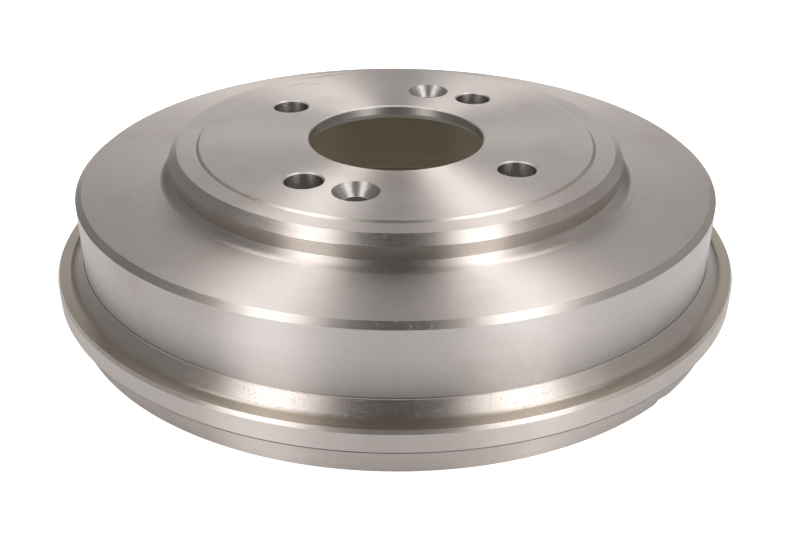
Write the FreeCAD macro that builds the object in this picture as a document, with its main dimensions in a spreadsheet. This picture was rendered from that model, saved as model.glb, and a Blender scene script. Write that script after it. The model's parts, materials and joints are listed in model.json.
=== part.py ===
import FreeCAD, Part
import math
import os
import Sketcher

# Brake drum, one grey iron casting: a round shell that is open below, with a raised hub on its closed
# end, a flange with a rim round its open end, and a narrower lip below the rim.
#
# Millimetres. +Z points out of the hub along the drum's axis. The origin is on the axis, in the plane
# of the open end, on which the drum stands. Heights are measured up from that plane.
#
# The piece is made in the order of the real one: the casting is revolved, its outside and inside are
# turned, and then the wheel and screw holes are drilled through the hub.

NODE = "brake_drum"
SHEET = "Sizes"

# Name, value and meaning of each size that can be set by itself.
SIZES = [
    ("overall_height", 56.5, "open end to hub face"),
    ("hub_diameter", 160.0, "raised hub"),
    ("hub_rise", 10.35, "hub face above the closed end's outer face"),
    ("hub_edge_chamfer", 2.95, "45 degree chamfer round the hub"),
    ("hub_root_slope", 2.45, "45 degree slope at the foot of the hub"),
    ("hub_root_radius", 3.8, "fillet that carries the slope over into the closed end"),
    ("hub_wall", 6.8, "iron between the hub's outside and the recess under it"),
    ("ring_width", 9.6, "lower ring of the hub face, round the wheel seat"),
    ("land_rise", 0.45, "wheel seat above the ring round it"),
    ("land_edge_width", 1.1, "sloping edge between the two, measured across"),
    ("track_diameter", 203.2, "friction track for the brake shoes, inside the shell"),
    ("shell_wall", 10.4, "iron between the track and the shell's turned outside"),
    ("drum_edge_width", 2.1, "chamfer round the closed end, measured across"),
    ("drum_edge_drop", 1.65, "the same chamfer, measured down"),
    ("web_thickness", 7.0, "closed end between hub and shell"),
    ("skin_step", 0.35, "cast skin left standing proud of the turned outside, at the flange"),
    ("skin_band", 0.35, "straight stretch of that skin above the slope down to the flange"),
    ("flange_root_slope", 3.9, "45 degree slope between shell and flange"),
    ("flange_root_radius", 2.5, "fillet that carries the slope over into the flange"),
    ("rim_reach", 9.4, "how far the rim stands out from the shell"),
    ("rim_thickness", 7.9, "top of the flange above the rim's underside"),
    ("rim_edge_width", 0.7, "chamfer on top of the rim, measured across"),
    ("rim_edge_drop", 1.25, "the same chamfer, measured down"),
    ("rim_foot_chamfer", 0.4, "broken edge under the rim"),
    ("lip_height", 10.2, "lip that reaches down into the backing plate, up to the rim's underside"),
    ("lip_inset", 4.7, "lip's outside, in from the rim's"),
    ("lip_chamfer", 0.4, "broken edges of the lip"),
    ("mouth_step", 2.2, "clearance bore at the open end, out from the track"),
    ("mouth_depth", 5.0, "depth of that bore"),
    ("track_lead", 1.5, "chamfer that leads the shoes onto the track"),
    ("relief_depth", 1.0, "undercut at the inner end of the track"),
    ("relief_width", 4.0, "its width"),
    ("relief_root_radius", 0.8, "fillet in its corner"),
    ("hub_plate", 5.6, "hub face to axle seat"),
    ("seat_margin", 5.2, "cast floor of the recess, round the turned axle seat"),
    ("seat_rise", 0.6, "axle seat below that floor"),
    ("recess_corner_radius", 3.0, "cast fillets in and at the mouth of the recess"),
    ("bore_diameter", 62.4, "centre bore"),
    ("bore_front_chamfer", 0.52, "chamfer at the hub face"),
    ("bore_back_chamfer", 2.2, "chamfer at the axle seat"),
    ("bolt_circle", 100.0, "circle through all the holes"),
    ("first_stud_angle", 45.0, "place of the first wheel stud hole"),
    ("stud_count", 4, "wheel stud holes"),
    ("stud_hole", 13.0, "for 12 mm studs"),
    ("stud_hole_chamfer", 0.5, "broken edge of a stud hole"),
    ("screw_count", 2, "retaining screw holes"),
    ("screw_lag", 22.0, "angle from a stud hole on to a screw hole"),
    ("screw_hole", 8.2, "for 8 mm screws"),
    ("screw_head", 15.6, "width of the countersink"),
    ("screw_head_angle", 90.0, "angle of the countersink"),
]

# Radii and heights that follow from the sizes above.
HUB = "Sizes.hub_diameter / 2"
LAND = f"({HUB} - Sizes.ring_width)"
TRACK = "Sizes.track_diameter / 2"
RELIEF = f"({TRACK} + Sizes.relief_depth)"
MOUTH = f"({TRACK} + Sizes.mouth_step)"
DRUM = f"({TRACK} + Sizes.shell_wall)"
SKIN = f"({DRUM} + Sizes.skin_step)"
RIM = f"({DRUM} + Sizes.rim_reach)"
LIP = f"({RIM} - Sizes.lip_inset)"
RECESS = f"({HUB} - Sizes.hub_wall)"
SEAT = f"({RECESS} - Sizes.seat_margin)"
BORE = "Sizes.bore_diameter / 2"
BOLT = "Sizes.bolt_circle / 2"

OPEN_END = "0"
TOP = "Sizes.overall_height"
RING_TOP = "Sizes.overall_height - Sizes.land_rise"
WEB_TOP = "Sizes.overall_height - Sizes.hub_rise"
WEB_UNDER = f"{WEB_TOP} - Sizes.web_thickness"
SEAT_UNDER = "Sizes.overall_height - Sizes.hub_plate"
FLOOR_UNDER = f"{SEAT_UNDER} + Sizes.seat_rise"
FOOT = "Sizes.lip_height"
FLANGE = "(Sizes.lip_height + Sizes.rim_thickness)"
SLOPE_TOP = f"{FLANGE} + Sizes.flange_root_slope"
SLOPE_FOOT = f"({SKIN} + Sizes.flange_root_slope)"
SKIN_TOP = f"{SLOPE_TOP} + Sizes.skin_band"
HUB_SLOPE_TOP = f"{WEB_TOP} + Sizes.hub_root_slope"
HUB_SLOPE_FOOT = f"({HUB} + Sizes.hub_root_slope)"

# Cutting sections reach this far past the iron that they take away.
OVERCUT = "Sizes.hub_edge_chamfer"

# An edge is taken for the wanted circle within this distance.
NEAR = 1e-4

# The sketcher's numbers for a sketch's origin, and for the start, end and centre of a line or circle.
ORIGIN = (-1, 1)
START = 1
END = 2
CENTRE = 3


def fill_sheet(document):
    """Write the sizes into a spreadsheet, one row each, with the name as the value's alias."""
    sheet = document.addObject("Spreadsheet::Sheet", SHEET)
    for row, (name, value, meaning) in enumerate(SIZES, start=1):
        sheet.set(f"A{row}", name)
        sheet.set(f"B{row}", str(value))
        sheet.set(f"C{row}", meaning)
        sheet.setAlias(f"B{row}", name)
    document.recompute()
    return sheet


def number(thing, expression):
    """Work out an expression as a plain number."""
    result = thing.evalExpression(expression)
    return getattr(result, "Value", result)


def origin_plane(body, role):
    """Find one of the body's own origin planes."""
    return next(plane for plane in body.Origin.OriginFeatures if plane.Role == role)


def new_sketch(body, name, role):
    """Start a sketch on one of the body's origin planes."""
    sketch = body.newObject("Sketcher::SketchObject", name)
    sketch.AttachmentSupport = [(origin_plane(body, role), "")]
    sketch.MapMode = "FlatFace"
    return sketch


def bind(sketch, name, constraint, expression):
    """Add a named dimension to a sketch and tie it to an expression."""
    index = sketch.addConstraint(constraint)
    sketch.renameConstraint(index, name)
    sketch.setExpression(f"Constraints.{name}", expression)


def half_section(body, name, corners):
    """Draw a closed half section in the XZ plane from corners given as radius and height expressions.

    Neighbouring corners that share a radius or a height are joined by a vertical or a horizontal
    line, and each radius and height is dimensioned once for every such run.
    """
    sketch = new_sketch(body, name, "XZ_Plane")
    points = [FreeCAD.Vector(number(sketch, r), number(sketch, z), 0) for r, z in corners]
    count = len(corners)
    for start in range(count):
        sketch.addGeometry(Part.LineSegment(points[start], points[(start + 1) % count]), False)
    for start in range(count):
        following = (start + 1) % count
        sketch.addConstraint(Sketcher.Constraint("Coincident", start, END, following, START))
    for start in range(count):
        radius, height = corners[start]
        last_radius, last_height = corners[start - 1]
        line_before = (start - 1) % count
        if radius == last_radius:
            sketch.addConstraint(Sketcher.Constraint("Vertical", line_before))
        else:
            distance = Sketcher.Constraint("DistanceX", *ORIGIN, start, START, points[start].x)
            bind(sketch, f"radius_{start}", distance, radius)
        if height == last_height:
            sketch.addConstraint(Sketcher.Constraint("Horizontal", line_before))
        else:
            distance = Sketcher.Constraint("DistanceY", *ORIGIN, start, START, points[start].y)
            bind(sketch, f"height_{start}", distance, height)
    return sketch


def turn(body, kind, name, corners):
    """Revolve a half section about the drum's axis, to add iron or to take it away."""
    sketch = half_section(body, f"{name}_section", corners)
    feature = body.newObject(f"PartDesign::{kind}", name)
    feature.Profile = (sketch, [""])
    feature.ReferenceAxis = (sketch, ["V_Axis"])
    feature.Angle = 360
    body.Document.recompute()
    return feature


def circle_edge(feature, radius, height):
    """Name the feature's edge that is a circle about the axis, of this radius and at this height."""
    wanted_radius = number(feature, radius)
    wanted_height = number(feature, height)
    for index, edge in enumerate(feature.Shape.Edges, start=1):
        circle = edge.Curve
        if not isinstance(circle, Part.Circle):
            continue
        off_axis = math.hypot(circle.Center.x, circle.Center.y)
        misses = (off_axis, circle.Radius - wanted_radius, circle.Center.z - wanted_height)
        if max(map(abs, misses)) < NEAR:
            return f"Edge{index}"
    raise ValueError(f"no edge of radius {radius} at height {height}")


def round_edges(body, name, places, radius):
    """Put a fillet on the circular edges at the given radii and heights."""
    fillet = body.newObject("PartDesign::Fillet", name)
    base = fillet.BaseFeature
    fillet.Base = (base, [circle_edge(base, *place) for place in places])
    fillet.setExpression("Radius", radius)
    body.Document.recompute()


def break_edges(body, name, places, size):
    """Put a 45 degree chamfer on the circular edges at the given radii and heights."""
    chamfer = body.newObject("PartDesign::Chamfer", name)
    base = chamfer.BaseFeature
    chamfer.Base = (base, [circle_edge(base, *place) for place in places])
    chamfer.setExpression("Size", size)
    body.Document.recompute()


def cast_shell(body):
    """Cast the shell: hub, closed end, wall, flange, rim and lip, with the recess under the hub."""
    turn(body, "Revolution", "casting", [
        (BORE, TOP),
        (HUB, TOP),
        (HUB, HUB_SLOPE_TOP),
        (HUB_SLOPE_FOOT, WEB_TOP),
        (SKIN, WEB_TOP),
        (SKIN, SLOPE_TOP),
        (SLOPE_FOOT, FLANGE),
        (RIM, FLANGE),
        (RIM, FOOT),
        (LIP, FOOT),
        (LIP, OPEN_END),
        (TRACK, OPEN_END),
        (TRACK, WEB_UNDER),
        (RECESS, WEB_UNDER),
        (RECESS, FLOOR_UNDER),
        (SEAT, FLOOR_UNDER),
        (SEAT, SEAT_UNDER),
        (BORE, SEAT_UNDER),
    ])
    round_edges(body, "hub_root", [(HUB_SLOPE_FOOT, WEB_TOP)], "Sizes.hub_root_radius")
    round_edges(body, "flange_root", [(SLOPE_FOOT, FLANGE)], "Sizes.flange_root_radius")
    round_edges(body, "recess_corners", [(RECESS, FLOOR_UNDER), (RECESS, WEB_UNDER)],
                "Sizes.recess_corner_radius")


def turn_outside(body):
    """Turn the ring round the wheel seat, the shell's outside with its edge, and the rim's edges."""
    turn(body, "Groove", "ring_facing", [
        (f"{LAND} - Sizes.land_edge_width", TOP),
        (f"{LAND} - Sizes.land_edge_width", f"{TOP} + {OVERCUT}"),
        (f"{HUB} + {OVERCUT}", f"{TOP} + {OVERCUT}"),
        (f"{HUB} + {OVERCUT}", RING_TOP),
        (LAND, RING_TOP),
    ])
    break_edges(body, "hub_edge", [(HUB, RING_TOP)], "Sizes.hub_edge_chamfer")
    turn(body, "Groove", "shell_turning", [
        (f"{DRUM} - Sizes.drum_edge_width", WEB_TOP),
        (f"{DRUM} - Sizes.drum_edge_width", f"{WEB_TOP} + {OVERCUT}"),
        (f"{SKIN} + {OVERCUT}", f"{WEB_TOP} + {OVERCUT}"),
        (f"{SKIN} + {OVERCUT}", SKIN_TOP),
        (DRUM, SKIN_TOP),
        (DRUM, f"{WEB_TOP} - Sizes.drum_edge_drop"),
    ])
    turn(body, "Groove", "rim_edge", [
        (f"{RIM} - Sizes.rim_edge_width", FLANGE),
        (f"{RIM} - Sizes.rim_edge_width", f"{FLANGE} + {OVERCUT}"),
        (f"{RIM} + {OVERCUT}", f"{FLANGE} + {OVERCUT}"),
        (f"{RIM} + {OVERCUT}", f"{FLANGE} - Sizes.rim_edge_drop"),
        (RIM, f"{FLANGE} - Sizes.rim_edge_drop"),
    ])
    break_edges(body, "rim_foot_edge", [(RIM, FOOT)], "Sizes.rim_foot_chamfer")


def turn_inside(body):
    """Turn the mouth, the lead onto the friction track, its undercut, and the centre bore's edges."""
    turn(body, "Groove", "mouth", [
        (BORE, OPEN_END),
        (BORE, f"{OPEN_END} - {OVERCUT}"),
        (MOUTH, f"{OPEN_END} - {OVERCUT}"),
        (MOUTH, "Sizes.mouth_depth"),
        (f"{TRACK} + Sizes.track_lead", "Sizes.mouth_depth"),
        (TRACK, "Sizes.mouth_depth + Sizes.track_lead"),
        (BORE, "Sizes.mouth_depth + Sizes.track_lead"),
    ])
    break_edges(body, "lip_edges", [(LIP, OPEN_END), (MOUTH, OPEN_END)], "Sizes.lip_chamfer")
    turn(body, "Groove", "track_relief", [
        (TRACK, WEB_UNDER),
        (RELIEF, WEB_UNDER),
        (RELIEF, f"{WEB_UNDER} - Sizes.relief_width"),
        (TRACK, f"{WEB_UNDER} - Sizes.relief_width - Sizes.relief_depth"),
        (f"{TRACK} - {OVERCUT}", f"{WEB_UNDER} - Sizes.relief_width - Sizes.relief_depth"),
        (f"{TRACK} - {OVERCUT}", WEB_UNDER),
    ])
    round_edges(body, "relief_root", [(RELIEF, WEB_UNDER)], "Sizes.relief_root_radius")
    break_edges(body, "bore_front_edge", [(BORE, TOP)], "Sizes.bore_front_chamfer")
    break_edges(body, "bore_back_edge", [(BORE, SEAT_UNDER)], "Sizes.bore_back_chamfer")


def drill_ring(body, name, angle, count, sizes):
    """Drill one hole through the hub on the bolt circle and repeat it round the axis.

    The sizes are expressions for the hole's diameter and for its countersink's diameter and angle.
    """
    sketch = new_sketch(body, f"{name}_centre", "XY_Plane")
    sketch.setExpression(".AttachmentOffset.Base.z", TOP)
    reach = number(sketch, BOLT)
    turned = math.radians(number(sketch, angle))
    place = FreeCAD.Vector(reach * math.cos(turned), reach * math.sin(turned), 0)
    diameter, sink_diameter, sink_angle = sizes
    radius = number(sketch, f"({diameter}) / 2")
    sketch.addGeometry(Part.Circle(place, FreeCAD.Vector(0, 0, 1), radius), False)
    across = Sketcher.Constraint("DistanceX", *ORIGIN, 0, CENTRE, place.x)
    bind(sketch, "across", across, f"{BOLT} * cos({angle} * 1 deg)")
    along = Sketcher.Constraint("DistanceY", *ORIGIN, 0, CENTRE, place.y)
    bind(sketch, "along", along, f"{BOLT} * sin({angle} * 1 deg)")
    bind(sketch, "width", Sketcher.Constraint("Diameter", 0, 2 * radius), diameter)
    body.Document.recompute()

    hole = body.newObject("PartDesign::Hole", name)
    hole.Profile = sketch
    body.Document.recompute()
    hole.Threaded = False
    hole.DepthType = "ThroughAll"
    hole.HoleCutType = "Countersink"
    hole.HoleCutCustomValues = True
    hole.setExpression("Diameter", diameter)
    hole.setExpression("HoleCutDiameter", sink_diameter)
    hole.setExpression("HoleCutCountersinkAngle", sink_angle)
    body.Document.recompute()

    ring = body.newObject("PartDesign::PolarPattern", f"{name}_ring")
    ring.Originals = [hole]
    ring.Axis = (sketch, ["N_Axis"])
    ring.Angle = 360
    ring.setExpression("Occurrences", count)
    body.Tip = ring
    body.Document.recompute()


def drill_hub(body):
    """Drill the wheel stud holes and the countersunk holes for the retaining screws."""
    drill_ring(body, "stud_hole", "Sizes.first_stud_angle", "Sizes.stud_count",
               ("Sizes.stud_hole", "Sizes.stud_hole + 2 * Sizes.stud_hole_chamfer", "90 deg"))
    drill_ring(body, "screw_hole", "(Sizes.first_stud_angle + Sizes.screw_lag)", "Sizes.screw_count",
               ("Sizes.screw_hole", "Sizes.screw_head", "Sizes.screw_head_angle * 1 deg"))


def build_drum(document):
    """Make the drum as one body."""
    body = document.addObject("PartDesign::Body", NODE)
    body.Label = NODE
    body.Placement = FreeCAD.Placement()
    cast_shell(body)
    turn_outside(body)
    turn_inside(body)
    drill_hub(body)
    return body


def check(document, body):
    """Stop if any feature failed or the finished shape isn't one valid solid."""
    for thing in document.Objects:
        if "Invalid" in thing.State or "Error" in thing.State:
            raise RuntimeError(f"{thing.Name} failed: {thing.State}")
    if body.Shape.isNull() or not body.Shape.isValid() or len(body.Shape.Solids) != 1:
        raise RuntimeError(f"{body.Label} isn't one valid solid")


def main():
    document = FreeCAD.newDocument("BrakeDrum")
    fill_sheet(document)
    drum = build_drum(document)
    document.recompute()
    check(document, drum)
    os.makedirs("parts", exist_ok=True)
    drum.Shape.exportStep(os.path.join("parts", f"{drum.Label}.step"))
    print(f"{drum.Label}: {drum.Shape.Volume:.1f} mm3, {len(drum.Shape.Faces)} faces")


main()
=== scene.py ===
import json
import logging
import math
from dataclasses import dataclass, field
from enum import Enum
from typing import Any, Optional

import bpy
from mathutils import Matrix, Vector


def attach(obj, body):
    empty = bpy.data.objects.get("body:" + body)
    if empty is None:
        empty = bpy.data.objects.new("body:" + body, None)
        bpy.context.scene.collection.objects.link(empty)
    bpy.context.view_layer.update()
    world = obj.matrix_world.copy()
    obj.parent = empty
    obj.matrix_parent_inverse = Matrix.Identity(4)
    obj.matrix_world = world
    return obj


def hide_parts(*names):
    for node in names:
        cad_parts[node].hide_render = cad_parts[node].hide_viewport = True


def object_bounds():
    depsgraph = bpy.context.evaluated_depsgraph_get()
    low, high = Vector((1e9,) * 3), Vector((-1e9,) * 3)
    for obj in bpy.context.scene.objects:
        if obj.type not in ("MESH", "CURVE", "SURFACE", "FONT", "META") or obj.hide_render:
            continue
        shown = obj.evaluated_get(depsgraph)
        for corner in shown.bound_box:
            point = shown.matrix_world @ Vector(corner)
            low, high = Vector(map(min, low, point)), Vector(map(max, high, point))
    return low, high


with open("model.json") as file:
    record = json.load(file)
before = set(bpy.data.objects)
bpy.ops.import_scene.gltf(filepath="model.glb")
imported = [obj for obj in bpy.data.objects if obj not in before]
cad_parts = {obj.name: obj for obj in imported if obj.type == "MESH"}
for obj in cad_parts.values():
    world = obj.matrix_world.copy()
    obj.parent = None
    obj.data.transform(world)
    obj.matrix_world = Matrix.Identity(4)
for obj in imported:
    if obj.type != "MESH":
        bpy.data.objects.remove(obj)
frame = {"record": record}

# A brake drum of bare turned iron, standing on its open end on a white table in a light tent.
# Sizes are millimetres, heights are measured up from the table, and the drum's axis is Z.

Tree = bpy.types.NodeTree
Socket = bpy.types.NodeSocket

LOG = logging.getLogger("brake_drum")
NODE = "brake_drum"
BODY = "root"
MM = 0.001
CAD_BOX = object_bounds()
MOUNTS = {mount["name"]: mount for mount in frame["record"]["mounts"]}


class Surface(Enum):
    """How a stretch of the drum's surface was made."""

    FACED = "turned with a fine feed"
    FORMED = "cut with the flank of a form tool"
    WALL = "the upright wall of the hub, cut clean and smooth"
    CAST = "left as it was cast"
    DRILLED = "drilled"
    SUNK = "countersunk"
    # Painted shade: this low corner under the rim is coloured dark for the shadow in its gap.
    GRIMY = "a low corner that keeps its grime"
    # The scraped edges also carry a painted highlight in their paler colour.
    BROKEN = "a sharp edge broken with a scraper"
    TRACK = "turned inside the drum, under a thin film of oil"
    SKIMMED = "skimmed once and left dull"
    # SHELL: the darkening towards the foot is painted shade near the flange.
    SHELL = "turned with a fine feed, duller towards its foot"


def linear(hex_colour: str) -> tuple[float, float, float, float]:
    """Turn an sRGB hex colour into the linear colour that a shader works in.

    Args:
        hex_colour: Six hex digits after a hash.

    Returns:
        Red, green, blue and an alpha of one.
    """
    channels = [int(hex_colour[start:start + 2], 16) / 255 for start in (1, 3, 5)]
    straight = [c / 12.92 if c <= 0.04045 else ((c + 0.055) / 1.055) ** 2.4 for c in channels]
    return (straight[0], straight[1], straight[2], 1.0)


def add_node(tree: Tree, kind: str, settings: Optional[dict[str, Any]] = None,
             **inputs: Any) -> bpy.types.Node:
    """Add a node to a tree, with its settings, input values and links.

    Args:
        tree: The shader or geometry tree.
        kind: The node's type name.
        settings: Values of the node's own properties.
        inputs: Input values or the output sockets linked to them, by the input's name in lower case
            with underscores, or in_0, in_1 and so on by its place.

    Returns:
        The new node.
    """
    node = tree.nodes.new(kind)
    for name, value in (settings or {}).items():
        setattr(node, name, value)
    names = {socket.name.lower().replace(" ", "_"): socket
             for socket in reversed(node.inputs) if socket.enabled}
    for name, value in inputs.items():
        target = node.inputs[int(name[3:])] if name.startswith("in_") else names[name]
        if isinstance(value, Socket):
            tree.links.new(value, target)
        else:
            target.default_value = value
    return node


def maths(tree: Tree, operation: str, *values: Any) -> Socket:
    """Add one step of arithmetic.

    Args:
        tree: The tree to add it to.
        operation: The maths node's operation.
        values: One to three numbers or output sockets.

    Returns:
        The socket with the result.
    """
    inputs = {f"in_{place}": value for place, value in enumerate(values)}
    return add_node(tree, "ShaderNodeMath", {"operation": operation}, **inputs).outputs[0]


def new_material(name: str) -> bpy.types.Material:
    """Make a material whose node tree is empty.

    Args:
        name: The material's name.

    Returns:
        The material.
    """
    material = bpy.data.materials.new(name)
    material.use_nodes = True
    material.node_tree.nodes.clear()
    return material


@dataclass(frozen=True)
class Corner:
    """A corner of a half section, with the radius that rounds it off, in millimetres."""

    radius: float
    height: float
    rounding: float = 0.12

    def point(self) -> Vector:
        """Give the sharp corner as a point of the section's plane."""
        return Vector((self.radius, self.height))


@dataclass(frozen=True)
class Section:
    """A closed half section that is turned about the Z axis."""

    name: str
    corners: tuple[Corner, ...]
    fine_step: float = math.radians(30)
    coarse_step: float = math.radians(9)
    fillet_from: float = 0.5

    def arc(self, place: int) -> list[Vector]:
        """Round one corner off.

        Args:
            place: The corner's place in the section.

        Returns:
            The points that stand for the corner, in order.
        """
        corner = self.corners[place]
        here = corner.point()
        before = (self.corners[place - 1].point() - here).normalized()
        after = (self.corners[(place + 1) % len(self.corners)].point() - here).normalized()
        if corner.rounding == 0:
            return [here]
        opening = before.angle(after)
        bend = math.pi - opening
        run = corner.rounding * math.tan(bend / 2)
        centre = here + (before + after).normalized() * corner.rounding / math.sin(opening / 2)
        start = here + before * run - centre
        end = here + after * run - centre
        step = self.coarse_step if corner.rounding >= self.fillet_from else self.fine_step
        count = max(2, math.ceil(bend / step))
        sense = math.copysign(1, start.cross(end))
        return [centre + Matrix.Rotation(sense * bend * i / count, 2) @ start
                for i in range(count + 1)]

    def outline(self) -> list[Vector]:
        """Give the whole outline with its corners rounded off."""
        return [point for place in range(len(self.corners)) for point in self.arc(place)]

    def object(self, sweep_radius: float) -> bpy.types.Object:
        """Draw the outline flat and heights downwards, as the lathe tree takes it.

        Args:
            sweep_radius: Radius of the circle that the section is swept along.

        Returns:
            An object whose mesh is the closed outline, in metres.
        """
        points = [((p.x - sweep_radius) * MM, -p.y * MM, 0.0) for p in self.outline()]
        edges = [(i, (i + 1) % len(points)) for i in range(len(points))]
        mesh = bpy.data.meshes.new(self.name)
        mesh.from_pydata(points, edges, [])
        return bpy.data.objects.new(self.name, mesh)


@dataclass(frozen=True)
class Mark:
    """A small mark on the iron: an oval that lies along the tool's rings.

    Angle is in degrees round the axis, and the other fields are millimetres.
    """

    angle: float
    radius: float
    height: float
    along: float
    across: float

    def distance(self, tree: Tree, place: Socket) -> Socket:
        """Measure from the mark's middle, so that its edge is at one.

        Args:
            tree: The material's node tree.
            place: The object coordinate.

        Returns:
            The socket with the distance.
        """
        turned = math.radians(self.angle)
        middle = Vector((self.radius * math.cos(turned), self.radius * math.sin(turned), self.height))
        own = add_node(tree, "ShaderNodeMapping", {"vector_type": "TEXTURE"}, vector=place,
                       location=middle * MM, rotation=(0.0, 0.0, turned),
                       scale=(self.across * MM, self.along * MM, self.across * MM)).outputs[0]
        return add_node(tree, "ShaderNodeVectorMath", {"operation": "LENGTH"}, in_0=own).outputs[1]


@dataclass(frozen=True)
class TurnedIron:
    """Grey iron cut on a lathe and left bare.

    The tool leaves rings a fraction of a millimetre apart, so the metal is much rougher across them
    than along them. To the eye that spreads each light into a fan that points at the axis, bright on
    the faces, chamfers and shell at the same place, with dull warm grey between the fans.

    The tool's feed is about 0.2 mm, which is too fine to show, so the rings are drawn 1.1 mm apart.
    The specks are grains that the tool tore out. The real ones are about 0.1 mm wide and are drawn
    half a millimetre wide, as small as they can show. Lengths are millimetres.
    """

    name: str = "turned_grey_iron"
    light: str = "#beb7b3"
    dark: str = "#b5aea9"
    stain: str = "#a2978f"
    streak: str = "#7d6a5e"
    roughness: float = 0.42
    anisotropy: float = 0.88
    across_the_rings: float = 0.25
    ring_pitch: float = 1.1
    ring_height: float = 0.006
    mark_length: float = 30.0
    grain: float = 0.45
    grain_height: float = 0.015
    speck: float = 0.48
    speck_odds: float = 0.45
    speck_depth: float = 0.012
    speck_roughness: float = 0.95
    speck_share: float = 0.18
    speck_tone: str = "#d6d0ca"
    grain_share: float = 0.55
    cloud: float = 30.0
    nick_depth: float = 0.12
    # Painted shade: how dark the colour gets at the shell's foot, and the heights over which it
    # darkens.
    painted_foot_shade: float = 1.0
    painted_shade_from: float = 36.5
    painted_shade_to: float = 23.5
    nicks: tuple[Mark, ...] = ()
    streaks: tuple[Mark, ...] = ()

    @staticmethod
    def mask(tree: Tree, marks: tuple[Mark, ...], place: Socket) -> Socket:
        """Give one inside any of the marks and zero outside, with a soft edge.

        Args:
            tree: The material's node tree.
            marks: The marks.
            place: The object coordinate.

        Returns:
            The socket with the mask.
        """
        nearest = marks[0].distance(tree, place)
        for mark in marks[1:]:
            nearest = maths(tree, "MINIMUM", nearest, mark.distance(tree, place))
        return add_node(tree, "ShaderNodeMapRange", value=nearest, from_min=0.3, from_max=1.0,
                        to_min=1.0, to_max=0.0).outputs[0]

    def ring_vector(self, tree: Tree) -> tuple[Socket, Socket, Socket]:
        """Lay out coordinates that follow the tool's rings.

        Args:
            tree: The material's node tree.

        Returns:
            The object coordinate, the vector of radius, height and cosine, and the sine beside it.
        """
        place = add_node(tree, "ShaderNodeTexCoord").outputs["Object"]
        split = add_node(tree, "ShaderNodeSeparateXYZ", vector=place).outputs
        square = maths(tree, "MULTIPLY_ADD", split["X"], split["X"],
                       maths(tree, "MULTIPLY", split["Y"], split["Y"]))
        radius = maths(tree, "SQRT", square)
        pitches = 1 / (self.ring_pitch * MM)
        lengths = float(MOUNTS["shoe_track"]["dims"]["r_mm"]) / self.mark_length
        cosine = maths(tree, "MULTIPLY", maths(tree, "DIVIDE", split["X"], radius), lengths)
        sine = maths(tree, "MULTIPLY", maths(tree, "DIVIDE", split["Y"], radius), lengths)
        rings = add_node(tree, "ShaderNodeCombineXYZ",
                         x=maths(tree, "MULTIPLY", radius, pitches),
                         y=maths(tree, "MULTIPLY", split["Z"], pitches), z=cosine)
        return place, rings.outputs[0], sine

    def colour(self, tree: Tree, place: Socket, marks: Socket, grain: Socket) -> Socket:
        """Mix the colour of the sound iron, with its stains, its streaks and the painted shade that
        darkens its foot.

        Args:
            tree: The material's node tree.
            place: The object coordinate.
            marks: The pattern of the tool's rings.
            grain: The pattern of the iron's grain.

        Returns:
            The socket with the colour.
        """
        clouds = add_node(tree, "ShaderNodeTexNoise", vector=place, scale=1 / (self.cloud * MM),
                          detail=3.0, roughness=0.55).outputs["Fac"]
        texture = add_node(tree, "ShaderNodeMix", {"data_type": "FLOAT"}, in_0=self.grain_share,
                           in_2=marks, in_3=grain).outputs[0]
        contrast = add_node(tree, "ShaderNodeMapRange", value=texture, from_min=0.35,
                            from_max=0.65).outputs[0]
        tone = add_node(tree, "ShaderNodeMix", {"data_type": "RGBA"}, factor=contrast,
                        in_6=linear(self.dark), in_7=linear(self.light)).outputs[2]
        patches = add_node(tree, "ShaderNodeMapRange", value=clouds, from_min=0.52, from_max=0.8,
                           to_min=0.0, to_max=0.55).outputs[0]
        colour = add_node(tree, "ShaderNodeMix", {"data_type": "RGBA"}, factor=patches, in_6=tone,
                          in_7=linear(self.stain)).outputs[2]
        # Painted shade: the colour darkens from the shell's middle down to its foot by the flange.
        if self.painted_foot_shade < 1:
            height = add_node(tree, "ShaderNodeSeparateXYZ", vector=place).outputs["Z"]
            shade = add_node(tree, "ShaderNodeMapRange", value=height,
                             from_min=self.painted_shade_to * MM, from_max=self.painted_shade_from * MM,
                             to_min=self.painted_foot_shade, to_max=1.0).outputs[0]
            colour = add_node(tree, "ShaderNodeVectorMath", {"operation": "SCALE"}, in_0=colour,
                              scale=shade).outputs[0]
        if self.streaks:
            wisps = add_node(tree, "ShaderNodeMapRange", value=marks, from_min=0.4, from_max=0.6,
                             to_min=0.1, to_max=1.0).outputs[0]
            share = maths(tree, "MULTIPLY", self.mask(tree, self.streaks, place), wisps)
            colour = add_node(tree, "ShaderNodeMix", {"data_type": "RGBA"}, factor=share, in_6=colour,
                              in_7=linear(self.streak)).outputs[2]
        return colour

    def torn_grains(self, tree: Tree, place: Socket) -> Socket:
        """Scatter the grains that the tool tore out of the iron.

        Args:
            tree: The material's node tree.
            place: The object coordinate.

        Returns:
            The socket with zero on sound iron and the specks' share in the middle of a torn grain.
        """
        cells = add_node(tree, "ShaderNodeTexVoronoi", vector=place,
                         scale=1 / (self.speck * MM)).outputs
        spot = add_node(tree, "ShaderNodeMapRange", value=cells["Distance"], from_min=0.25,
                        from_max=0.5, to_min=self.speck_share, to_max=0.0).outputs[0]
        chance = add_node(tree, "ShaderNodeSeparateColor", color=cells["Color"]).outputs[0]
        return maths(tree, "MULTIPLY", spot, maths(tree, "LESS_THAN", chance, self.speck_odds))

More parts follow.
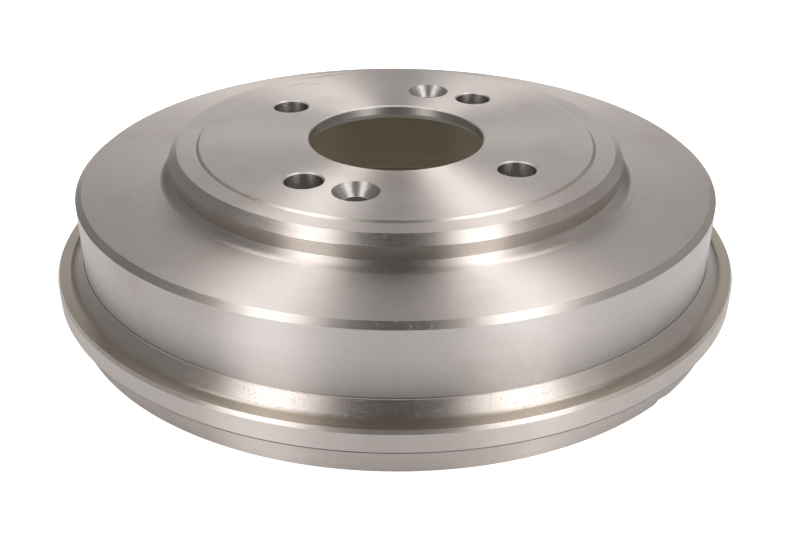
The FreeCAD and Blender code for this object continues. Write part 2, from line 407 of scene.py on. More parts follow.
    def material(self) -> bpy.types.Material:
        """Make the material.

        Returns:
            The material, with its nodes.
        """
        material = new_material(self.name)
        tree = material.node_tree
        place, rings, sine = self.ring_vector(tree)
        marks = add_node(tree, "ShaderNodeTexNoise", {"noise_dimensions": "4D"}, vector=rings, w=sine,
                         scale=1.0, detail=3.0, roughness=0.6).outputs["Fac"]
        grain = add_node(tree, "ShaderNodeTexNoise", vector=place, scale=1 / (self.grain * MM),
                         detail=2.0, roughness=0.6).outputs["Fac"]
        colour = self.colour(tree, place, marks, grain)
        ring_bump = add_node(tree, "ShaderNodeBump", strength=1.0,
                             distance=self.ring_height * MM, height=marks)
        grain_bump = add_node(tree, "ShaderNodeBump", strength=1.0,
                              distance=self.grain_height * MM, height=grain,
                              normal=ring_bump.outputs[0])
        torn = self.torn_grains(tree, place)
        bump = add_node(tree, "ShaderNodeBump", {"invert": True}, strength=1.0,
                        distance=self.speck_depth * MM, height=torn, normal=grain_bump.outputs[0])
        if self.nicks:
            nicked = self.mask(tree, self.nicks, place)
            torn = maths(tree, "MAXIMUM", torn, nicked)
            bump = add_node(tree, "ShaderNodeBump", {"invert": True}, strength=1.0,
                            distance=self.nick_depth * MM, height=nicked, normal=bump.outputs[0])
        colour = add_node(tree, "ShaderNodeMix", {"data_type": "RGBA"}, factor=torn, in_6=colour,
                          in_7=linear(self.speck_tone)).outputs[2]
        roughness = maths(tree, "MULTIPLY_ADD", torn, self.speck_roughness - self.roughness,
                          self.roughness)
        tangent = add_node(tree, "ShaderNodeTangent", {"direction_type": "RADIAL", "axis": "Z"})
        shader = add_node(tree, "ShaderNodeBsdfPrincipled", base_color=colour, metallic=1.0,
                          roughness=roughness, anisotropic=self.anisotropy,
                          anisotropic_rotation=self.across_the_rings,
                          normal=bump.outputs[0], tangent=tangent.outputs[0])
        add_node(tree, "ShaderNodeOutputMaterial", surface=shader.outputs[0])
        return material


NICKS = (
    Mark(193.1, 88.0, 46.15, 0.5, 0.35),
    Mark(227.4, 78.5, 56.05, 0.25, 0.6),
    Mark(303.4, 110.5, 46.1, 0.7, 0.4),
    Mark(341.1, 77.5, 56.05, 0.5, 0.4),
    Mark(260.9, 116.7, 0.6, 0.35, 0.35),
    Mark(262.4, 116.7, 1.6, 0.3, 0.3),
    Mark(346.9, 31.4, 56.2, 0.6, 0.45),
)
STREAKS = (
    Mark(114.9, 69.0, 56.5, 9.0, 1.0),
    Mark(113.6, 65.5, 56.5, 7.0, 0.7),
    Mark(106.0, 74.0, 56.05, 14.0, 1.2),
)


@dataclass(frozen=True)
class CastIron:
    """Grey iron as it left the sand: dark, dull and grainy, with no light fans.

    The sand's grain is about 0.3 mm, which is too fine to show, so it is drawn 0.9 mm wide.
    """

    name: str = "cast_iron_skin"
    light: str = "#8b8378"
    dark: str = "#6a6258"
    roughness: float = 0.62
    grain: float = 0.9
    grain_height: float = 0.05

    def material(self) -> bpy.types.Material:
        """Make the material.

        Returns:
            The material, with its nodes.
        """
        material = new_material(self.name)
        tree = material.node_tree
        place = add_node(tree, "ShaderNodeTexCoord").outputs["Object"]
        sand = add_node(tree, "ShaderNodeTexNoise", vector=place, scale=1 / (self.grain * MM),
                        detail=4.0, roughness=0.65).outputs["Fac"]
        colour = add_node(tree, "ShaderNodeMix", {"data_type": "RGBA"}, factor=sand,
                          in_6=linear(self.dark), in_7=linear(self.light)).outputs[2]
        bump = add_node(tree, "ShaderNodeBump", strength=1.0,
                        distance=self.grain_height * MM, height=sand)
        shader = add_node(tree, "ShaderNodeBsdfPrincipled", base_color=colour, metallic=1.0,
                          roughness=self.roughness, normal=bump.outputs[0])
        add_node(tree, "ShaderNodeOutputMaterial", surface=shader.outputs[0])
        return material


@dataclass(frozen=True)
class DrilledIron:
    """The wall of a drilled hole, with the ridge that each turn of the drill leaves.

    The ridges break the light up, so a hole looks dark and finely ringed, with a soft upright gleam.
    A drill's feed is about 0.2 mm, which is too fine to show, so the ridges are drawn 0.65 mm apart.
    """

    name: str = "drilled_grey_iron"
    light: str = "#aca5a0"
    dark: str = "#79726d"
    roughness: float = 0.34
    ridge_pitch: float = 0.65
    ridge_height: float = 0.06
    ridge_share: float = 0.6
    chatter: float = 0.6

    def material(self) -> bpy.types.Material:
        """Make the material.

        Returns:
            The material, with its nodes.
        """
        material = new_material(self.name)
        tree = material.node_tree
        own = add_node(tree, "ShaderNodeAttribute",
                       {"attribute_name": Lathe.OWN_PLACE}).outputs["Vector"]
        split = add_node(tree, "ShaderNodeSeparateXYZ", vector=own).outputs
        turn = maths(tree, "DIVIDE", maths(tree, "ARCTAN2", split["Y"], split["X"]), math.tau)
        lift = maths(tree, "DIVIDE", split["Z"], self.ridge_pitch * MM)
        phase = maths(tree, "MULTIPLY", maths(tree, "ADD", lift, turn), math.tau)
        ridge = maths(tree, "SINE", phase)
        place = add_node(tree, "ShaderNodeTexCoord").outputs["Object"]
        chatter = add_node(tree, "ShaderNodeTexNoise", vector=place, scale=1 / (self.chatter * MM),
                           detail=3.0, roughness=0.6).outputs["Fac"]
        height = maths(tree, "MULTIPLY_ADD", ridge, self.ridge_share, chatter)
        colour = add_node(tree, "ShaderNodeMix", {"data_type": "RGBA"}, factor=chatter,
                          in_6=linear(self.dark), in_7=linear(self.light)).outputs[2]
        bump = add_node(tree, "ShaderNodeBump", strength=1.0,
                        distance=self.ridge_height * MM, height=height)
        shader = add_node(tree, "ShaderNodeBsdfPrincipled", base_color=colour, metallic=1.0,
                          roughness=self.roughness, normal=bump.outputs[0])
        add_node(tree, "ShaderNodeOutputMaterial", surface=shader.outputs[0])
        return material


@dataclass
class Lathe:
    """The Geometry Nodes trees that turn a section into iron and drill rings of holes through it."""

    OWN_PLACE = "own_place"
    SOCKETS = {"Section": "Geometry", "Facets": "Int", "Finish": "Material"}
    sweep_radius: float = 10.0
    weld: float = 0.001
    turning: Tree = field(init=False)

    def __post_init__(self) -> None:
        """Build the tree that turns one section, which the other trees use."""
        self.turning = self.turning_tree()

    @staticmethod
    def new_tree(name: str, sockets: dict[str, str]) -> Tree:
        """Start a tree that gives one solid.

        Args:
            name: The tree's name.
            sockets: The kind of each input, by the input's name.

        Returns:
            The tree, with its inputs and its output and no nodes.
        """
        tree = bpy.data.node_groups.new(name, "GeometryNodeTree")
        for socket, kind in sockets.items():
            tree.interface.new_socket(socket, in_out="INPUT", socket_type=f"NodeSocket{kind}")
        tree.interface.new_socket("Solid", in_out="OUTPUT", socket_type="NodeSocketGeometry")
        return tree

    def turning_tree(self) -> Tree:
        """Build a tree that sweeps a flat section round the Z axis.

        Returns:
            The tree, with the section, the number of facets and the material as inputs.
        """
        tree = self.new_tree("turned_solid", self.SOCKETS)
        given = add_node(tree, "NodeGroupInput").outputs
        circle = add_node(tree, "GeometryNodeCurvePrimitiveCircle", resolution=given["Facets"],
                          radius=self.sweep_radius * MM)
        profile = add_node(tree, "GeometryNodeMeshToCurve", mesh=given["Section"])
        swept = add_node(tree, "GeometryNodeCurveToMesh", curve=circle.outputs[0],
                         profile_curve=profile.outputs[0])
        joined = add_node(tree, "GeometryNodeMergeByDistance", geometry=swept.outputs[0],
                          distance=self.weld * MM)
        place = add_node(tree, "GeometryNodeInputPosition")
        marked = add_node(tree, "GeometryNodeStoreNamedAttribute",
                          {"data_type": "FLOAT_VECTOR", "domain": "CORNER"},
                          geometry=joined.outputs[0], name=self.OWN_PLACE, value=place.outputs[0])
        finished = add_node(tree, "GeometryNodeSetMaterial", geometry=marked.outputs[0],
                            material=given["Finish"])
        add_node(tree, "NodeGroupOutput", solid=finished.outputs[0])
        return tree

    def drilled_tree(self, drills: list["Drill"]) -> Tree:
        """Build a tree that turns the section and drills each ring of holes through it.

        Args:
            drills: The drills, one for each ring of holes.

        Returns:
            The tree, with named inputs for the facets, the finishes and each ring.
        """
        sockets = {**self.SOCKETS, "Drilled finish": "Material"}
        for drill in drills:
            sockets |= {f"{drill.name} {what}": kind for what, kind in drill.SOCKETS.items()}
        tree = self.new_tree("turned_and_drilled", sockets)
        given = add_node(tree, "NodeGroupInput").outputs
        iron = add_node(tree, "GeometryNodeGroup", {"node_tree": self.turning},
                        section=given["Section"], facets=given["Facets"], finish=given["Finish"])
        bits = add_node(tree, "GeometryNodeJoinGeometry")
        index = add_node(tree, "GeometryNodeInputIndex")
        for drill in drills:
            section = add_node(tree, "GeometryNodeObjectInfo", object=given[f"{drill.name} section"])
            bit = add_node(tree, "GeometryNodeGroup", {"node_tree": self.turning},
                           section=section.outputs["Geometry"], facets=given[f"{drill.name} facets"],
                           finish=given["Drilled finish"])
            share = maths(tree, "DIVIDE", index.outputs[0], given[f"{drill.name} count"])
            angle = maths(tree, "MULTIPLY_ADD", share, math.tau, given[f"{drill.name} angle"])
            reach = given[f"{drill.name} circle"]
            centre = add_node(tree, "ShaderNodeCombineXYZ",
                              x=maths(tree, "MULTIPLY", reach, maths(tree, "COSINE", angle)),
                              y=maths(tree, "MULTIPLY", reach, maths(tree, "SINE", angle)))
            ring = add_node(tree, "GeometryNodePoints", count=given[f"{drill.name} count"],
                            position=centre.outputs[0])
            placed = add_node(tree, "GeometryNodeInstanceOnPoints", points=ring.outputs[0],
                              instance=bit.outputs[0])
            tree.links.new(placed.outputs[0], bits.inputs[0])
        real = add_node(tree, "GeometryNodeRealizeInstances", geometry=bits.outputs[0])
        cut = add_node(tree, "GeometryNodeMeshBoolean",
                       {"operation": "DIFFERENCE", "solver": "MANIFOLD"},
                       mesh_1=iron.outputs[0], mesh_2=real.outputs[0])
        whole = add_node(tree, "GeometryNodeRealizeInstances", geometry=cut.outputs["Mesh"])
        dressed = add_node(tree, "GeometryNodeSetMaterial", geometry=whole.outputs[0],
                           selection=False, material=given["Finish"])
        add_node(tree, "NodeGroupOutput", solid=dressed.outputs[0])
        return tree


@dataclass(frozen=True)
class Drill:
    """A drill that makes a ring of equal holes: its own section, and where the holes go."""

    SOCKETS = {"section": "Object", "facets": "Int", "count": "Int", "circle": "Float",
               "angle": "Float"}
    name: str
    radius: float
    mouth_radius: float
    mouth_depth: float
    count: int
    circle: float
    angle: float
    foot_rounding: float = 0.0
    facets: int = 72
    overrun: float = 2.0
    core: float = 0.02

    def values(self, bit: bpy.types.Object) -> dict[str, Any]:
        """Give what the drill's own inputs in the lathe's tree are set to.

        Args:
            bit: The object that holds the drill's section.

        Returns:
            Each value, by the input's name.
        """
        own = (bit, self.facets, self.count, self.circle * MM, math.radians(self.angle))
        return {f"{self.name} {what}": value for what, value in zip(self.SOCKETS, own)}

    def section(self, top: float, plate: float) -> Section:
        """Draw the drill, which reaches past the plate on both sides.

        Args:
            top: Height of the face that it drills into.
            plate: Thickness of the plate that it goes through.

        Returns:
            The drill's half section.
        """
        above = top + self.overrun
        below = top - plate - self.overrun
        slope = (self.mouth_radius - self.radius) / self.mouth_depth
        return Section(f"{self.name}_drill", (
            Corner(self.core, above, 0.0),
            Corner(self.mouth_radius + self.overrun * slope, above, 0.0),
            Corner(self.radius, top - self.mouth_depth, self.foot_rounding),
            Corner(self.radius, below, 0.0),
            Corner(self.core, below, 0.0),
        ))


@dataclass(frozen=True)
class Dent:
    """A place on the edge of the lip that was knocked in.

    Angle is in degrees round the axis, and the other fields are millimetres.
    """

    angle: float
    radius: float
    length: float
    depth: float
    band: float = 5.0
    edge: float = 1.0

    def press(self, mesh: bpy.types.Mesh) -> None:
        """Push the edge in towards the axis, fading out along it.

        Args:
            mesh: The mesh of the drum.
        """
        reach = math.degrees(self.length / 2 / self.radius)
        for vertex in mesh.vertices:
            if vertex.co.z > self.band * MM or vertex.co.xy.length < (self.radius - self.edge) * MM:
                continue
            turned = math.degrees(math.atan2(vertex.co.y, vertex.co.x)) % 360
            share = abs(turned - self.angle) / reach
            if share < 1:
                push = 1 - self.depth * math.cos(share * math.pi / 2) ** 2 / self.radius
                vertex.co.xy = vertex.co.xy * push


DENTS = (Dent(307.1, 116.7, 7.0, 0.6),)


@dataclass
class Drum:
    """The drum: its sizes, its half section, and the piece that is made from them.

    Sizes are millimetres. A reach says how near to a line of the section a face's middle has to be
    to count as lying on it.
    """

    top: float = CAD_BOX[1][2] / MM
    rim_radius: float = CAD_BOX[1][0] / MM
    bore_radius: float = MOUNTS["centre_bore"]["dims"]["r_mm"]
    track_radius: float = MOUNTS["shoe_track"]["dims"]["r_mm"]
    bolt_circle: float = MOUNTS["stud_holes"]["dims"]["pcd_mm"] / 2
    stud_radius: float = MOUNTS["stud_holes"]["dims"]["hole_r_mm"]
    screw_radius: float = MOUNTS["screw_holes"]["dims"]["hole_r_mm"]
    seat_height: float = MOUNTS["axle_seat"]["pos_m"][2] / MM
    hub_radius: float = 80.0
    hub_rise: float = 10.35
    hub_chamfer: float = 2.95
    hub_slope: float = 2.45
    hub_root: float = 3.8
    land_radius: float = 70.4
    land_rise: float = 0.45
    land_edge: float = 1.1
    rim_reach: float = 9.4
    shell_edge_width: float = 2.1
    shell_edge_drop: float = 1.65
    web: float = 7.0
    skin_step: float = 0.35
    skin_band: float = 0.35
    flange_slope: float = 3.9
    flange_root: float = 2.5
    rim_thickness: float = 7.9
    rim_edge_width: float = 0.7
    rim_edge_drop: float = 1.25
    rim_foot_width: float = 0.25
    rim_foot_rise: float = 0.6
    lip_height: float = 10.2
    lip_inset: float = 4.7
    lip_chamfer: float = 0.4
    mouth_step: float = 2.2
    mouth_depth: float = 5.0
    track_lead: float = 1.5
    relief_depth: float = 1.0
    relief_width: float = 4.0
    relief_root: float = 0.8
    recess_wall: float = 6.8
    recess_root: float = 3.0
    seat_margin: float = 5.2
    seat_rise: float = 0.6
    bore_front: float = 0.52
    bore_back: float = 2.2
    stud_angle: float = 45.0
    stud_break: float = 0.5
    screw_lag: float = 22.0
    screw_head_radius: float = 7.8
    screw_foot: float = 0.3
    land_rounding: float = 0.06
    step_rounding: float = 0.05
    edge_reach: float = 0.15
    foot_reach: float = 0.2
    flange_reach: float = 0.3
    dents: tuple[Dent, ...] = ()
    facets: int = 400
    crease: float = math.radians(40)

    @property
    def flange(self) -> float:
        """Height of the flange's top."""
        return self.lip_height + self.rim_thickness

    @property
    def shell_radius(self) -> float:
        """Radius of the turned shell."""
        return self.rim_radius - self.rim_reach

    @property
    def plate(self) -> float:
        """Thickness of the hub's plate."""
        return self.top - self.seat_height

    def section(self) -> Section:
        """Draw the drum's half section, from the bore's front edge outwards and back inside.

        Returns:
            The section.
        """
        face = self.top - self.hub_rise
        under = face - self.web
        skin = self.shell_radius + self.skin_step
        lip = self.rim_radius - self.lip_inset
        mouth = self.track_radius + self.mouth_step
        relief = self.track_radius + self.relief_depth
        recess = self.hub_radius - self.recess_wall
        floor = self.seat_height + self.seat_rise
        seat = recess - self.seat_margin
        skin_top = self.flange + self.flange_slope + self.skin_band
        return Section("drum_section", (
            Corner(self.bore_radius, self.top - self.bore_front),
            Corner(self.bore_radius + self.bore_front, self.top),
            Corner(self.land_radius - self.land_edge, self.top, self.land_rounding),
            Corner(self.land_radius, self.top - self.land_rise, self.land_rounding),
            Corner(self.hub_radius - self.hub_chamfer, self.top - self.land_rise),
            Corner(self.hub_radius, self.top - self.land_rise - self.hub_chamfer),
            Corner(self.hub_radius, face + self.hub_slope),
            Corner(self.hub_radius + self.hub_slope, face, self.hub_root),
            Corner(self.shell_radius - self.shell_edge_width, face),
            Corner(self.shell_radius, face - self.shell_edge_drop),
            Corner(self.shell_radius, skin_top, self.step_rounding),
            Corner(skin, skin_top, self.step_rounding),
            Corner(skin, self.flange + self.flange_slope),
            Corner(skin + self.flange_slope, self.flange, self.flange_root),
            Corner(self.rim_radius - self.rim_edge_width, self.flange),
            Corner(self.rim_radius, self.flange - self.rim_edge_drop),
            Corner(self.rim_radius, self.lip_height + self.rim_foot_rise, self.step_rounding),
            Corner(self.rim_radius - self.rim_foot_width, self.lip_height),
            Corner(lip, self.lip_height),
            Corner(lip, self.lip_chamfer),
            Corner(lip - self.lip_chamfer, 0.0),
            Corner(mouth + self.lip_chamfer, 0.0),
            Corner(mouth, self.lip_chamfer),
            Corner(mouth, self.mouth_depth),
            Corner(self.track_radius + self.track_lead, self.mouth_depth),
            Corner(self.track_radius, self.mouth_depth + self.track_lead),
            Corner(self.track_radius, under - self.relief_width - self.relief_depth),
            Corner(relief, under - self.relief_width),
            Corner(relief, under, self.relief_root),
            Corner(recess, under, self.recess_root),
            Corner(recess, floor, self.recess_root),
            Corner(seat, floor),
            Corner(seat, self.seat_height),
            Corner(self.bore_radius + self.bore_back, self.seat_height),
            Corner(self.bore_radius, self.seat_height + self.bore_back),
        ))

    def drills(self) -> list[Drill]:
        """Give the drills for the wheel studs and for the countersunk retaining screws.

        Returns:
            The two drills.
        """
        stud_mouth = self.stud_radius + self.stud_break
        sink = self.screw_head_radius - self.screw_radius
        screw_count = MOUNTS["screw_holes"]["dims"]["count"]
        return [
            Drill("Stud hole", self.stud_radius, stud_mouth, self.stud_break,
                  MOUNTS["stud_holes"]["dims"]["count"], self.bolt_circle, self.stud_angle),
            Drill("Screw hole", self.screw_radius, self.screw_head_radius, sink, screw_count,
                  self.bolt_circle, self.stud_angle + self.screw_lag, foot_rounding=self.screw_foot),
        ]

    def surface(self, radius: float, height: float) -> Surface:
        """Say how the iron was left at a place on the half section.

        Args:
            radius: Distance from the axis.
            height: Height above the table.

        Returns:
            The kind of surface there.
        """
        face = self.top - self.hub_rise
        recess = self.hub_radius - self.recess_wall
        # The bore's front edge takes the pale edge finish, partly a painted highlight.
        if radius < self.bore_radius + self.bore_front and height > self.top - self.bore_front:
            return Surface.BROKEN
        # The corner under the rim gets the dark painted-shade finish.
        rim_foot = self.lip_height + self.rim_foot_rise
        if radius > self.rim_radius - self.lip_inset and self.lip_height < height < rim_foot:
            return Surface.GRIMY
        under_web = face - self.web - self.relief_width < height < face - self.web / 2
        in_recess = self.seat_height - self.recess_root < height < self.top - self.plate / 2
        if under_web and recess - self.recess_root < radius < self.track_radius:
            return Surface.CAST
        if in_recess and recess - self.recess_root < radius < recess + self.recess_root:
            return Surface.CAST
        on_flange = radius > self.shell_radius + self.skin_step / 2
        at_rim = radius > self.rim_radius - self.rim_edge_width
        if on_flange and not at_rim and abs(height - self.flange) < self.flange_reach:
            return Surface.SKIMMED
        if on_flange and self.flange - self.rim_edge_drop < height:
            return Surface.FORMED
        on_shell = abs(radius - self.shell_radius) < self.skin_step / 2
        if on_shell and self.flange < height < face - self.shell_edge_drop:
            return Surface.SHELL
        on_hub = self.hub_radius - self.hub_chamfer < radius < self.hub_radius + 2 * self.hub_slope
        if on_hub and face < height < self.top - self.land_rise:
            at_wall = abs(radius - self.hub_radius) < self.edge_reach
            return Surface.WALL if at_wall else Surface.FORMED
        on_edge = self.land_radius - self.land_edge < radius < self.land_radius
        if on_edge and self.top - self.land_rise < height < self.top:
            return Surface.FORMED
        if radius > self.shell_radius - self.shell_edge_width and height > face - self.shell_edge_drop:
            return Surface.FORMED
        inside = self.track_radius - self.relief_depth < radius < self.track_radius + self.mouth_step
        if inside and height < face - self.web:
            return Surface.TRACK
        return Surface.FACED

    def drilled_surface(self, place: Vector) -> Surface:
        """Say how the wall of a drilled hole was left at a place.

        Args:
            place: The place, in millimetres.

        Returns:
            The kind of surface there.
        """
        depth = self.top - place.z
        for drill in self.drills():
            for index in range(drill.count):
                angle = math.radians(drill.angle) + math.tau * index / drill.count
                centre = Vector((math.cos(angle), math.sin(angle))) * drill.circle
                reach = (place.xy - centre).length
                if reach > drill.mouth_radius:
                    continue
                # Stud-hole mouths and the rounding at a countersink's foot take the pale edge finish,
                # partly a painted highlight.
                at_mouth = drill.foot_rounding == 0 and depth < drill.mouth_depth
                at_foot = drill.foot_rounding > 0 and abs(reach - drill.radius) < self.foot_reach
                if at_mouth or (at_foot and abs(depth - drill.mouth_depth) < self.foot_reach):
                    return Surface.BROKEN
                if depth < drill.mouth_depth:
                    return Surface.SUNK
        return Surface.DRILLED

    def dress(self, piece: bpy.types.Object, finishes: dict[Surface, bpy.types.Material]) -> None:
        """Give each face of the turned iron the finish of the surface that it lies on.

        Args:
            piece: The drum's own object, whose drilled faces have the drilled finish already.
            finishes: The material of each kind of surface.
        """
        mesh = piece.data
        slots = [material.name for material in mesh.materials]
        drilled = slots.index(finishes[Surface.DRILLED].name)
        for kind, material in finishes.items():
            if material.name not in slots:
                mesh.materials.append(material)
                slots.append(material.name)
        for polygon in mesh.polygons:
            centre = polygon.center / MM
            if polygon.material_index == drilled:
                kind = self.drilled_surface(centre)
            else:
                kind = self.surface(centre.xy.length, centre.z)
            polygon.material_index = slots.index(finishes[kind].name)

    @staticmethod
    def plain_mesh(shaped: bpy.types.Object) -> bpy.types.Mesh:
        """Give an object's mesh as its modifiers leave it."""
        ready = shaped.evaluated_get(bpy.context.evaluated_depsgraph_get())
        return bpy.data.meshes.new_from_object(ready)

    def build(self, finishes: dict[Surface, bpy.types.Material]) -> None:
        """Turn and drill the drum, and put it in the place of the plain solid.

        Args:
            finishes: The material of each kind of surface.
        """
        lathe = Lathe()
        drills = self.drills()
        blank = self.section().object(lathe.sweep_radius)
        bpy.context.scene.collection.objects.link(blank)
        tree = lathe.drilled_tree(drills)
        modifier = blank.modifiers.new("lathe", "NODES")
        modifier.node_group = tree
        values = {"Facets": self.facets, "Finish": finishes[Surface.FACED],
                  "Drilled finish": finishes[Surface.DRILLED]}
        bits = []
        for drill in drills:
            bit = drill.section(self.top, self.plate).object(lathe.sweep_radius)
            bits.append(bit)
            values |= drill.values(bit)
        for item in tree.interface.items_tree:
            if item.item_type == "SOCKET" and item.in_out == "INPUT" and item.name in values:
                modifier[item.identifier] = values[item.name]
        piece = bpy.data.objects.new("turned_drum", self.plain_mesh(blank))
        bpy.context.scene.collection.objects.link(piece)
        for spent in [blank, *bits]:
            bpy.data.objects.remove(spent)
        self.dress(piece, finishes)
        for dent in self.dents:
            dent.press(piece.data)
        piece.data.set_sharp_from_angle(angle=self.crease)
        flat = piece.modifiers.new("flat_faces", "WEIGHTED_NORMAL")
        flat.mode = "FACE_AREA"
        flat.keep_sharp = True
        weighted = self.plain_mesh(piece)
        piece.modifiers.clear()
        piece.data = weighted
        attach(piece, BODY)
        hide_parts(NODE)
        LOG.info("%s: %d faces", piece.name, len(weighted.polygons))


@dataclass
class Viewpoint:
    """Where the drum is seen from: low, close, and a little above the middle of the picture.

    Angles are degrees. The lens is in millimetres, as on Blender's own camera, and so are lengths.
    """

    turned: float = -8.36
    elevation: float = 21.241
    distance: float = 374.25
    tilt: float = -7.173
    swing: float = -0.241
    roll: float = 0.241
    lens: float = 46.872
    nearest: float = 10.0

    def build(self, hub_height: float) -> None:
        """Set the camera up.

        Args:
            hub_height: Height of the hub face, from whose centre the distance is measured.
        """
        camera = bpy.data.objects.new("camera", bpy.data.cameras.new("camera"))
        camera.data.lens = self.lens
        camera.data.clip_start = self.nearest * MM
        aim = Matrix.Rotation(math.radians(self.turned), 4, "Z")
        aim @= Matrix.Rotation(math.radians(90 - self.elevation), 4, "X")
        centre = Matrix.Translation((0, 0, hub_height * MM))
        back = Matrix.Translation((0, 0, self.distance * MM))
        glance = Matrix.Rotation(math.radians(self.tilt), 4, "X")
        glance @= Matrix.Rotation(math.radians(self.swing), 4, "Y")
        glance @= Matrix.Rotation(math.radians(self.roll), 4, "Z")
        camera.matrix_world = centre @ aim @ back @ glance
        bpy.context.scene.collection.objects.link(camera)
        bpy.context.scene.camera = camera
        LOG.info("camera: %.0f mm from the hub", self.distance)


@dataclass(frozen=True)
class Softbox:
    """A flat white lamp that faces the drum, placed by where it is seen from there.

    The bearing is measured from the camera, to its right, the elevation from the table, and the
    spin turns the box in its own plane. Angles are degrees.
    """

    name: str
    bearing: float
    elevation: float
    width: float
    height: float
    brightness: float
    spin: float = 0.0

    def build(self, camera_bearing: float, distance: float) -> None:
        """Hang the lamp.

        Args:
            camera_bearing: The camera's own angle round the Z axis.
            distance: How far off the lamp is, in metres.
        """
        data = bpy.data.lights.new(self.name, "AREA")
        data.shape = "RECTANGLE"
        data.size = 2 * distance * math.tan(math.radians(self.width / 2))
        data.size_y = 2 * distance * math.tan(math.radians(self.height / 2))
        data.energy = self.brightness * data.size * data.size_y * math.pi
        lamp = bpy.data.objects.new(self.name, data)
        turned = math.radians(camera_bearing + self.bearing + 90)
        raised = math.radians(90 - self.elevation)
        spun = math.radians(self.spin)
        lamp.matrix_world = (Matrix.Rotation(turned, 4, "Z") @ Matrix.Rotation(raised, 4, "X")
                             @ Matrix.Translation((0, 0, distance)) @ Matrix.Rotation(spun, 4, "Z"))
        bpy.context.scene.collection.objects.link(lamp)


@dataclass
class Studio:
    """A white table in a light tent, with softboxes in pairs and a dark gap where the camera is.

    The drum covers a round part of the table, which gets no light of the tent. There the table gets a
    painted olive-brown shade and a faint painted glow, so it looks olive brown through the bore and is
    dim in the metal. Lengths are metres.
    """

    camera_bearing: float
    distance: float = 1.5
    table_size: float = 6.0
    table_glow: float = 0.7
    table_gleam: float = 0.25
    gleam_from: float = 0.35
    gleam_to: float = 0.7
    table_tone: str = "#f4f4f4"
    white: str = "#ffffff"
    # Under the drum: painted olive-brown shade on the table, and a faint painted glow in its place.
    covered: float = 0.11
    painted_glow_in_metal: float = 0.27
    painted_glow_to_camera: float = 0.055
    covered_painted_shade: str = "#6a6455"
    painted_glow_tint: str = "#ffe8c8"
    tent: float = 0.05
    tent_tone: str = "#ffe6d4"
    softboxes: tuple[Softbox, ...] = (
        Softbox("left_front_strip", -40, 22, 24, 54, 3.6),
        Softbox("right_front_strip", 40, 22, 24, 54, 3.6),
        Softbox("right_front_edge", 61, 22, 16, 50, 0.75),
        Softbox("left_overhead", -96, 66, 62, 14, 2.9, -8),
        Softbox("right_overhead", 96, 66, 62, 14, 3.5, 8),
        Softbox("left_back_top", -150, 57, 14, 14, 4.6),
        Softbox("right_back_top", 150, 57, 14, 14, 4.6),
        Softbox("left_wall", -105, 25, 70, 44, 0.2),
        Softbox("right_wall", 105, 25, 70, 44, 0.4),
        Softbox("backdrop", 180, 24, 46, 48, 0.9),
    )

    def table(self) -> None:
        """Lay the table, which looks white to the camera and in the metal, and takes the shadow."""
        mesh = bpy.data.meshes.new("table")
        half = self.table_size / 2
        mesh.from_pydata([(-half, -half, 0), (half, -half, 0), (half, half, 0), (-half, half, 0)], [],
                         [(0, 1, 2, 3)])
        table = bpy.data.objects.new("table", mesh)
        bpy.context.scene.collection.objects.link(table)
        material = new_material("white_table")
        tree = material.node_tree
        path = add_node(tree, "ShaderNodeLightPath").outputs
        place = add_node(tree, "ShaderNodeTexCoord").outputs["Object"]
        reach = add_node(tree, "ShaderNodeVectorMath", {"operation": "LENGTH"}, in_0=place).outputs[1]
        # Under the drum the table takes a painted olive-brown shade colour.
        lit = maths(tree, "GREATER_THAN", reach, self.covered)
        tone = add_node(tree, "ShaderNodeMix", {"data_type": "RGBA"}, factor=lit,
                        in_6=linear(self.covered_painted_shade), in_7=linear(self.table_tone)).outputs[2]
        paper = add_node(tree, "ShaderNodeBsdfDiffuse", color=tone)
        # And a faint painted glow there, seen in the metal and through the bore.
        painted_dim_glow = maths(tree, "MULTIPLY", path["Is Glossy Ray"], self.painted_glow_in_metal)
        painted_dim_glow = maths(tree, "MULTIPLY_ADD", path["Is Camera Ray"], self.painted_glow_to_camera, painted_dim_glow)
        near = add_node(tree, "ShaderNodeMapRange", value=reach, from_min=self.gleam_from,
                        from_max=self.gleam_to, to_min=self.table_gleam, to_max=0.0).outputs[0]
        gleam = maths(tree, "MULTIPLY", path["Is Glossy Ray"], near)
        seen = maths(tree, "MULTIPLY_ADD", path["Is Camera Ray"], self.table_glow, gleam)
        strength = add_node(tree, "ShaderNodeMix", {"data_type": "FLOAT"}, in_0=lit,
                            in_2=painted_dim_glow, in_3=seen).outputs[0]
        white = maths(tree, "MAXIMUM", lit, path["Is Glossy Ray"])
        tint = add_node(tree, "ShaderNodeMix", {"data_type": "RGBA"}, factor=white,
                        in_6=linear(self.painted_glow_tint), in_7=linear(self.white)).outputs[2]
        glow = add_node(tree, "ShaderNodeEmission", color=tint, strength=strength)
        both = add_node(tree, "ShaderNodeAddShader", in_0=paper.outputs[0], in_1=glow.outputs[0])
        add_node(tree, "ShaderNodeOutputMaterial", surface=both.outputs[0])
        table.data.materials.append(material)

    def sky(self) -> None:
        """Make the tent dim, and white where the camera looks at it."""
        world = bpy.data.worlds.new("tent")
        bpy.context.scene.world = world
        world.use_nodes = True
        tree = world.node_tree
        tree.nodes.clear()
        seen = add_node(tree, "ShaderNodeLightPath").outputs["Is Camera Ray"]
        strength = maths(tree, "MULTIPLY_ADD", seen, 1 - self.tent, self.tent)
        tone = add_node(tree, "ShaderNodeMix", {"data_type": "RGBA"}, factor=seen,
                        in_6=linear(self.tent_tone), in_7=linear(self.white)).outputs[2]
        cloth = add_node(tree, "ShaderNodeBackground", color=tone, strength=strength)
        add_node(tree, "ShaderNodeOutputWorld", surface=cloth.outputs[0])

    def build(self) -> None:
        """Set the table, the tent and the softboxes up."""
        self.table()
        self.sky()
        for box in self.softboxes:
            box.build(self.camera_bearing, self.distance)
        LOG.info("studio: %d softboxes", len(self.softboxes))


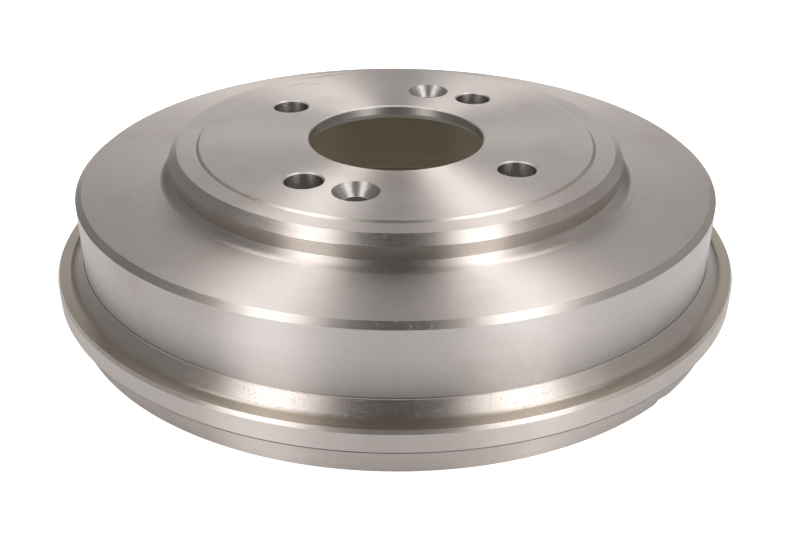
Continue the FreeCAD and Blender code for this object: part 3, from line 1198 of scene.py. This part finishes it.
def iron_finishes() -> dict[Surface, bpy.types.Material]:
    """Make the finish of each kind of surface.

    Returns:
        The material of each kind.
    """
    finishes = {
        # A fine feed gives a satin grey with long soft fans of light, and a few nicks and streaks.
        Surface.FACED: TurnedIron(nicks=NICKS, streaks=STREAKS),
        # The same cut on the upright shell, with painted shade that darkens it softly towards its foot
        # at the flange.
        Surface.SHELL: TurnedIron(name="turned_iron_of_the_shell", light="#c1bbb8",
                                  dark="#b8b2af", painted_foot_shade=0.82, nicks=NICKS),
        # A form tool's flank leaves finer rings, so the fans are brighter and end more sharply.
        Surface.FORMED: TurnedIron(name="form_cut_grey_iron", light="#c4bdb8", dark="#b5ada7",
                                   roughness=0.37, anisotropy=0.83, grain_height=0.01,
                                   speck_share=0.4, nicks=NICKS),
        # The cleanest cut of all, so the fans are bright and the iron between them is dark.
        Surface.WALL: TurnedIron(name="smooth_iron_of_the_hub_wall", light="#c8c3be",
                                 dark="#b6b0aa", roughness=0.235, anisotropy=0.82,
                                 speck_share=0.0),
        # One quick cut that was never finished leaves a warmer and slightly uneven grey.
        Surface.SKIMMED: TurnedIron(name="skimmed_grey_iron", light="#c5bcb0", dark="#b6ad9f",
                                    roughness=0.33, anisotropy=0.82, speck_share=0.2),
        # A scraper leaves no rings, and the paler colour is a painted highlight, so the edge is a thin
        # pale line from every side.
        Surface.BROKEN: TurnedIron(name="broken_iron_edge", light="#d9d3ce", dark="#c9c3be",
                                   roughness=0.5, anisotropy=0.0, nicks=NICKS),
        # A thin film of oil turns the grey towards olive and hides the torn grains.
        Surface.TRACK: TurnedIron(name="oiled_iron_inside", light="#b9ae93", dark="#aca086",
                                  speck_share=0.0),
        Surface.CAST: CastIron(),
        # Painted shade in the low corner under the rim draws a thin dark line round the drum.
        Surface.GRIMY: TurnedIron(name="grimy_rim_foot", light="#6d645c", dark="#4d4540",
                                  roughness=0.3, anisotropy=0.83),
        Surface.DRILLED: DrilledIron(),
        # A countersink's ridges are finer and lower than a drill's, so its cone gleams more.
        Surface.SUNK: DrilledIron(name="countersunk_grey_iron", light="#c0bab6", dark="#9d9793",
                                  ridge_pitch=0.5, ridge_height=0.035),
    }
    return {kind: finish.material() for kind, finish in finishes.items()}


def main() -> None:
    """Build the drum, its finishes, the camera and the studio."""
    logging.basicConfig(level=logging.INFO, format="%(name)s: %(message)s")
    bpy.context.scene.view_settings.view_transform = "Standard"
    drum = Drum(dents=DENTS)
    drum.build(iron_finishes())
    viewpoint = Viewpoint()
    viewpoint.build(drum.top)
    Studio(camera_bearing=viewpoint.turned - 90).build()


if __name__ == "__main__":
    main()
